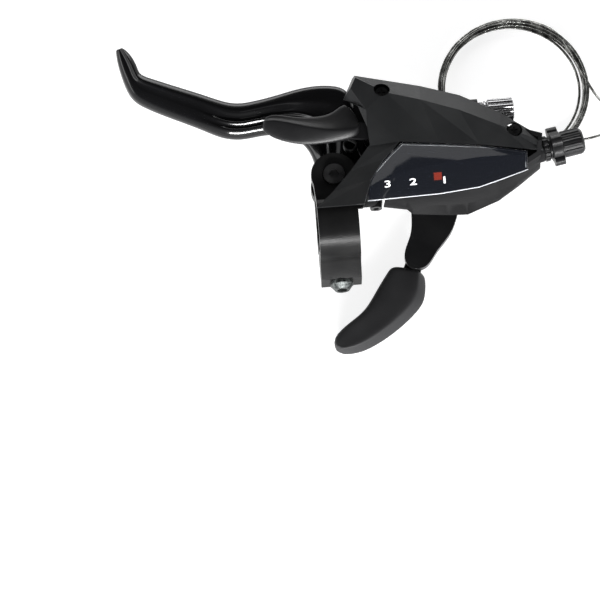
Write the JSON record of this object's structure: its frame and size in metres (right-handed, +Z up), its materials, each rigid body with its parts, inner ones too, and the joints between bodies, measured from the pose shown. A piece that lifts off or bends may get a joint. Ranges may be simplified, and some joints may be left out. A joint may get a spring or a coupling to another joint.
{
  "type": "thumb shifter",
  "caption": "Bicycle thumb shifter joined to a brake lever: clamp, long blade, release trigger, faceted cover, dial window, thumb paddle, two cable adjusters and a loose coil of gear wire",
  "frame": {"origin": "centre of the handlebar clamp's bore", "axes": "+X along the handlebar towards the stem, +Y forward away from the rider, +Z up along the lever pivots"},
  "size_m": [0.2163, 0.1524, 0.053],
  "materials": {
    "bracket_paint": "semi-gloss black paint on die-cast alloy",
    "lever_paint": "gloss black paint on forged alloy",
    "trigger_plastic": "satin black",
    "cover_plastic": "satin charcoal with a fine grain",
    "lens_plastic": "smoked, clear and glossy",
    "dial_plastic": "matte black",
    "indicator_red": "red-orange",
    "spool_plastic": "satin",
    "adjuster_plastic": "satin black",
    "pad_rubber": "matte dark grey",
    "arm_steel": "black coated steel with light edges",
    "plate_steel": "plain stamped steel",
    "dark_steel": "blackened steel",
    "zinc": "zinc plated",
    "spring_steel": "plain spring steel",
    "silver_alloy": "bright turned alloy",
    "brass": "plain bush metal",
    "wire_steel": "stranded steel wire"
  },
  "bodies": {
    "bracket": {"lever_bracket": "bracket_paint", "clamp_bolt": "zinc", "clamp_washer": "zinc", "clamp_nut": "zinc", "lever_pivot_pin": "dark_steel", "pivot_clip": "spring_steel", "trigger_pivot_pin": "dark_steel", "shift_axle": "dark_steel", "axle_nut": "zinc", "axle_washer": "zinc", "base_plate": "plate_steel", "top_plate": "plate_steel", "plate_pillars": "plate_steel", "pawl_pin": "dark_steel", "lever_retaining_screw": "dark_steel", "lower_case": "cover_plastic", "lower_case_screws": "dark_steel", "cover_screws": "dark_steel", "top_cover": "cover_plastic", "window_lens": "lens_plastic", "dial_plate": "dial_plastic", "lever_return_spring": "spring_steel", "trigger_return_spring": "spring_steel", "spool_return_spring": "spring_steel", "thumb_return_spring": "spring_steel", "pawl_spring": "spring_steel", "unit_fixing_screw": "dark_steel", "brake_adjuster_lock_ring": "silver_alloy", "shift_adjuster_collar": "adjuster_plastic", "shift_wire_inner": "wire_steel", "shift_wire_lead": "wire_steel", "shift_wire_coil": "wire_steel"},
    "brake_lever": {"brake_lever": "lever_paint", "lever_pivot_bush": "brass"},
    "cable_cradle": {"cable_cradle": "zinc"},
    "release_trigger": {"release_trigger": "trigger_plastic"},
    "holding_pawl": {"holding_pawl": "plate_steel"},
    "spool": {"wire_spool": "spool_plastic", "wire_nipple": "zinc", "ratchet_wheel": "plate_steel"},
    "indicator": {"indicator_flag": "indicator_red", "indicator_slider": "spool_plastic"},
    "thumb_lever": {"thumb_lever_arm": "arm_steel", "thumb_pad": "pad_rubber", "drive_carrier": "plate_steel"},
    "drive_pawl": {"drive_pawl": "plate_steel"},
    "brake_adjuster_travel": {"brake_adjuster_washer": "silver_alloy"},
    "brake_adjuster": {"brake_adjuster_barrel": "silver_alloy"},
    "shift_adjuster_travel": {"shift_adjuster_washer": "adjuster_plastic"},
    "shift_adjuster": {"shift_adjuster_barrel": "adjuster_plastic"}
  },
  "joints": [
    {"name": "brake_pull", "type": "hinge", "parent": "bracket", "child": "brake_lever", "pos_m": [0, 0.0184, 0], "axis": [0, 0, 1], "range_deg": [0, 22], "stiffness_Nm_per_rad": 0.3, "springref_deg": -14.32},
    {"name": "cradle_turn", "type": "hinge", "parent": "brake_lever", "child": "cable_cradle", "pos_m": [0.008, 0.0455, 0], "axis": [0, 0, 1], "range_deg": [-22, 0]},
    {"name": "trigger_press", "type": "hinge", "parent": "bracket", "child": "release_trigger", "pos_m": [0.019, 0.036, 0], "axis": [0, 0, 1], "range_deg": [0, 14], "stiffness_Nm_per_rad": 0.04, "springref_deg": -11.46},
    {"name": "holding_pawl_turn", "type": "hinge", "parent": "bracket", "child": "holding_pawl", "pos_m": [0.033, 0.0405, 0], "axis": [0, 0, 1], "range_deg": [0, 6]},
    {"name": "spool_turn", "type": "hinge", "parent": "bracket", "child": "spool", "pos_m": [0.047, 0.032, 0], "axis": [0, 0, 1], "range_deg": [-66, 0]},
    {"name": "indicator_slide", "type": "slide", "parent": "bracket", "child": "indicator", "axis": [0.9964, 0.0469, -0.0709], "range_m": [-0.0245, 0]},
    {"name": "thumb_push", "type": "hinge", "parent": "bracket", "child": "thumb_lever", "pos_m": [0.047, 0.032, 0], "axis": [0, 0, 1], "range_deg": [-36, 0], "stiffness_Nm_per_rad": 0.08, "springref_deg": 17.19},
    {"name": "drive_pawl_turn", "type": "hinge", "parent": "thumb_lever", "child": "drive_pawl", "pos_m": [0.0604, 0.0242, 0], "axis": [0, 0, 1], "range_deg": [0, 8], "stiffness_Nm_per_rad": 0.0001, "springref_deg": -5.73},
    {"name": "brake_adjuster_move", "type": "slide", "parent": "bracket", "child": "brake_adjuster_travel", "axis": [1, 0, 0], "range_m": [0, 0.004]},
    {"name": "brake_adjuster_turn", "type": "hinge", "parent": "brake_adjuster_travel", "child": "brake_adjuster", "pos_m": [0.072, 0.0455, 0.0035], "axis": [1, 0, 0], "range_deg": [0, 1800]},
    {"name": "shift_adjuster_move", "type": "slide", "parent": "bracket", "child": "shift_adjuster_travel", "axis": [0.9848, 0.1736, 0], "range_m": [0, 0.0032]},
    {"name": "shift_adjuster_turn", "type": "hinge", "parent": "shift_adjuster_travel", "child": "shift_adjuster", "pos_m": [0.091, 0.0277, -0.002], "axis": [0.9848, 0.1736, 0], "range_deg": [0, 1440]}
  ],
  "couplings": [
    {"joint": "cradle_turn", "follows": "brake_pull", "ratio": -1},
    {"joint": "holding_pawl_turn", "follows": "trigger_press", "ratio": 0.4},
    {"joint": "indicator_slide", "follows": "spool_turn", "m_per_rad": 0.021268},
    {"joint": "brake_adjuster_turn", "follows": "brake_adjuster_move", "rad_per_m": 7854},
    {"joint": "shift_adjuster_turn", "follows": "shift_adjuster_move", "rad_per_m": 7854}
  ]
}
